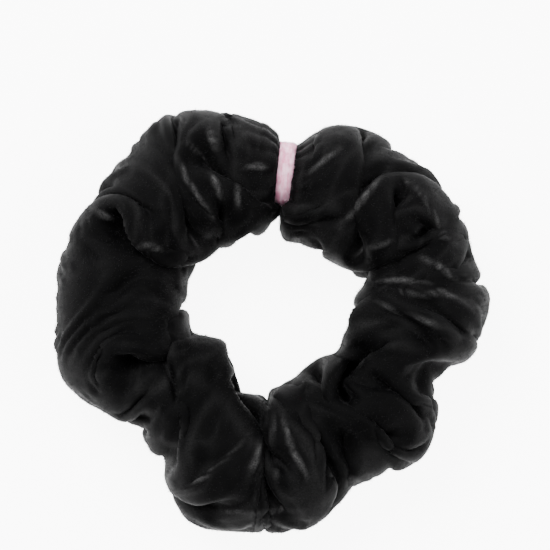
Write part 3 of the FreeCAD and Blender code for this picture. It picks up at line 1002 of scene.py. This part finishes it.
def plush_material(name="pink_plush"):
    """Pale pink plush: a soft mottle between two pinks, and a fluffy grain."""
    nodes = Nodes(
        name,
        (0.95, 0.55, 0.7),
        0.85,
        Specular_IOR_Level=0.2,
        Sheen_Weight=1.0,
        Sheen_Roughness=0.5,
        Sheen_Tint=(1, 0.86, 0.92, 1),
    )
    mottle = nodes.noise(0.9, 4.0, 0.65, (1.2, 0.35, 0.35))
    share = nodes.between(mottle, 0.0, 1.0, 0.38, 0.62)
    colour = nodes.blend(share, (0.82, 0.27, 0.46), (1.0, 0.66, 0.8))
    return nodes.wear(colour, None, nodes.bump(nodes.noise(0.25, 3.0, 0.7), 0.2, 0.7))


def thread_material(name, dark, light):
    """Sewing thread: its plies show as slanting bands."""
    nodes = Nodes(name, dark, 0.55, Sheen_Weight=0.2)
    plies = nodes.bands(0.22, "DIAGONAL")
    return nodes.wear(nodes.blend(plies, dark, light), None, nodes.bump(plies, 0.05, 0.8))


def braid_material():
    """Braided elastic: warp ribs crossed by slanting picks."""
    nodes = Nodes("black_braid", (0.02, 0.02, 0.022), 0.65, Sheen_Weight=0.2)
    ribs = nodes.bands(0.76, "Z")
    picks = nodes.bands(0.4, "DIAGONAL")
    braid = nodes.maths("MULTIPLY", ribs, picks)
    colour = nodes.blend(braid, (0.01, 0.01, 0.011), (0.05, 0.05, 0.053))
    roughness = nodes.between(nodes.noise(1.5), 0.5, 0.8)
    return nodes.wear(colour, roughness, nodes.bump(braid, 0.15, 0.8))


def rubber_material():
    """Rubber thread: pale, a little mottled and dusty with talc."""
    nodes = Nodes("pale_rubber", (0.65, 0.57, 0.42), 0.6)
    dust = nodes.noise(0.6, 4.0, 0.7)
    colour = nodes.blend(nodes.between(dust, 0.0, 1.0), (0.6, 0.5, 0.35), (0.76, 0.71, 0.6))
    roughness = nodes.between(dust, 0.4, 0.85)
    return nodes.wear(colour, roughness, nodes.bump(dust, 0.04, 0.6))


def floor_material():
    """White matt paper lit from behind, with the least of a grain."""
    nodes = Nodes("pale_floor", (0.92, 0.92, 0.92), 0.8, Specular_IOR_Level=0.2)
    nodes.shader.inputs["Emission Color"].default_value = (1, 1, 1, 1)
    nodes.shader.inputs["Emission Strength"].default_value = FLOOR_GLOW
    colour = nodes.blend(nodes.noise(3.0), (0.91, 0.91, 0.91), (0.93, 0.93, 0.93))
    return nodes.wear(colour)


# --------------------------------------------------------------------- scene


def camera():
    """Straight above the scrunchie, far enough off to flatten it."""
    data = bpy.data.cameras.new("camera")
    data.sensor_width = SENSOR_WIDTH
    height = CAMERA_HEIGHT * MM
    field = FIELD_WIDTH * MM
    data.lens = data.sensor_width * (height - CORE_HEIGHT * MM) / field
    thing = bpy.data.objects.new("camera", data)
    thing.location = (CAMERA_PLACE[0] * MM, CAMERA_PLACE[1] * MM, height)
    bpy.context.scene.collection.objects.link(thing)
    bpy.context.scene.camera = thing


def soft_light(name, place, size, power):
    """A square light that looks at the scrunchie."""
    data = bpy.data.lights.new(name, "AREA")
    data.size = size
    data.energy = power
    thing = bpy.data.objects.new(name, data)
    thing.location = place
    thing.rotation_euler = (-Vector(place)).to_track_quat("-Z", "Y").to_euler()
    bpy.context.scene.collection.objects.link(thing)


def studio():
    """A white floor that glows, two soft lights and an even sky."""
    edge = FLOOR_SIZE / 2
    corners = [(-edge, -edge, 0), (edge, -edge, 0), (edge, edge, 0), (-edge, edge, 0)]
    add_mesh("floor", corners, [(0, 1, 2, 3)], floor_material())
    soft_light("key", *KEY_LIGHT)
    soft_light("fill", *FILL_LIGHT)
    world = bpy.data.worlds.new("sky")
    world.use_nodes = True
    world.node_tree.nodes["Background"].inputs["Strength"].default_value = SKY_STRENGTH
    world.node_tree.nodes["Background"].inputs["Color"].default_value = (1, 1, 1, 1)
    bpy.context.scene.world = world


def main():
    """Builds the scene on the frame."""
    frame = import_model()
    nodes = frame["nodes"]
    rng = np.random.default_rng(SEED)

    profile = tube_profile(nodes["velvet_cover"])
    cloth, outward, painted_sheen = fine_cloth(gathered_tube(profile), profile)
    cover = velvet_cover(cloth, painted_sheen)
    allowance = seam_allowance(cloth, cover.data.materials[0])
    pile = velvet_pile(cloth, outward, rng)
    black_thread = thread_material("black_thread", (0.008, 0.008, 0.009), (0.03, 0.03, 0.032))
    stitches = seam_stitches(cloth, black_thread)
    for piece in (cover, allowance, pile, stitches):
        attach(piece, "cover")
    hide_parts("velvet_cover")
    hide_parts("long_seam_thread")

    ribbon = ribbon_tie()
    plush = ribbon_pile(rng)
    for piece in (ribbon, plush):
        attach(piece, "tie")
        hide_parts("tie_ribbon")

    pink_thread = thread_material("pink_thread", (0.75, 0.42, 0.46), (0.9, 0.66, 0.69))
    for name, material in (
        ("closing_seam_thread", black_thread),
        ("elastic_sheath", braid_material()),
        ("elastic_rubber_cores", rubber_material()),
        ("elastic_join_thread", black_thread),
        ("tie_join_thread", pink_thread),
    ):
        for material_slot in nodes[name].material_slots:
            material_slot.material = material

    studio()
    camera()


main()
